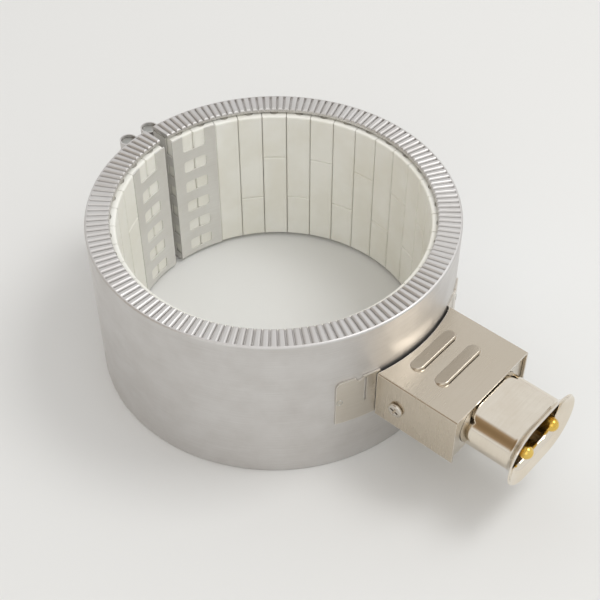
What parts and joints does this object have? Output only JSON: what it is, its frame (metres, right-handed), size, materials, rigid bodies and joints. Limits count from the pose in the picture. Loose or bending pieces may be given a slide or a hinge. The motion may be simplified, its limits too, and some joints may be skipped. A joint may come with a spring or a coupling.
{
  "type": "ceramic band heater",
  "caption": "Split ring heater: ceramic tile lining in a fluted-edge steel band, rolled clamp loops with cross screws, and a terminal box with a pin plug inlet.",
  "frame": {"origin": "bore axis at the mid width of the band", "axes": "+Z along the bore axis, +X through the middle of the terminal box"},
  "size_m": [0.2449, 0.167, 0.081],
  "materials": {
    "shell_steel": "satin rolled stainless sheet",
    "plate_steel": "satin stainless sheet",
    "box_steel": "bright warm nickel-plated sheet",
    "collar_nickel": "bright nickel plate",
    "screw_steel": "bright plated",
    "zinc_steel": "zinc plated",
    "pin_brass": "bright turned brass",
    "resistance_alloy": "drawn wire",
    "ceramic_tile": "smooth unglazed cream ceramic",
    "insulator_ceramic": "dense unglazed ceramic",
    "ceramic_fibre": "soft white fibre blanket",
    "glass_sleeve": "braided glass fibre"
  },
  "bodies": {
    "band": {"outer_shell": "shell_steel", "insulation_blanket": "ceramic_fibre", "tile_column_01": "ceramic_tile", "tile_column_02": "ceramic_tile", "tile_column_03": "ceramic_tile", "tile_column_04": "ceramic_tile", "tile_column_05": "ceramic_tile", "tile_column_06": "ceramic_tile", "tile_column_07": "ceramic_tile", "tile_column_08": "ceramic_tile", "tile_column_09": "ceramic_tile", "tile_column_10": "ceramic_tile", "tile_column_11": "ceramic_tile", "tile_column_12": "ceramic_tile", "tile_column_13": "ceramic_tile", "tile_column_14": "ceramic_tile", "tile_column_15": "ceramic_tile", "tile_column_16": "ceramic_tile", "tile_column_17": "ceramic_tile", "tile_column_18": "ceramic_tile", "tile_column_19": "ceramic_tile", "tile_column_20": "ceramic_tile", "tile_column_21": "ceramic_tile", "tile_column_22": "ceramic_tile", "tile_column_23": "ceramic_tile", "tile_column_24": "ceramic_tile", "tile_column_25": "ceramic_tile", "tile_column_26": "ceramic_tile", "tile_column_27": "ceramic_tile", "tile_column_28": "ceramic_tile", "tile_column_29": "ceramic_tile", "tile_column_30": "ceramic_tile", "tile_column_31": "ceramic_tile", "tile_column_32": "ceramic_tile", "tile_column_33": "ceramic_tile", "tile_column_34": "ceramic_tile", "tile_column_35": "ceramic_tile", "tile_column_36": "ceramic_tile", "tile_column_37": "ceramic_tile", "heating_coil_left": "resistance_alloy", "heating_coil_right": "resistance_alloy", "return_lead": "resistance_alloy", "end_plate_left": "plate_steel", "end_plate_right": "plate_steel", "clamp_barrel_threaded": "zinc_steel", "clamp_barrel_plain": "zinc_steel", "box_base": "box_steel", "box_cover": "box_steel", "cover_screws": "screw_steel", "connector_collar": "collar_nickel", "connector_insulator": "insulator_ceramic", "contact_pin_left": "pin_brass", "contact_pin_right": "pin_brass", "pin_nuts": "pin_brass", "terminal_leads": "resistance_alloy", "lead_sleeves": "glass_sleeve"},
    "upper_screw": {"clamp_screw_upper": "zinc_steel"},
    "lower_screw": {"clamp_screw_lower": "zinc_steel"}
  },
  "joints": [
    {"name": "upper_screw_turn", "type": "hinge", "parent": "band", "child": "upper_screw", "pos_m": [-0.09141, 0.00399, 0.019], "axis": [-0.0436, -0.999, 0], "continuous": true},
    {"name": "lower_screw_turn", "type": "hinge", "parent": "band", "child": "lower_screw", "pos_m": [-0.09141, 0.00399, -0.019], "axis": [-0.0436, -0.999, 0], "continuous": true}
  ]
}
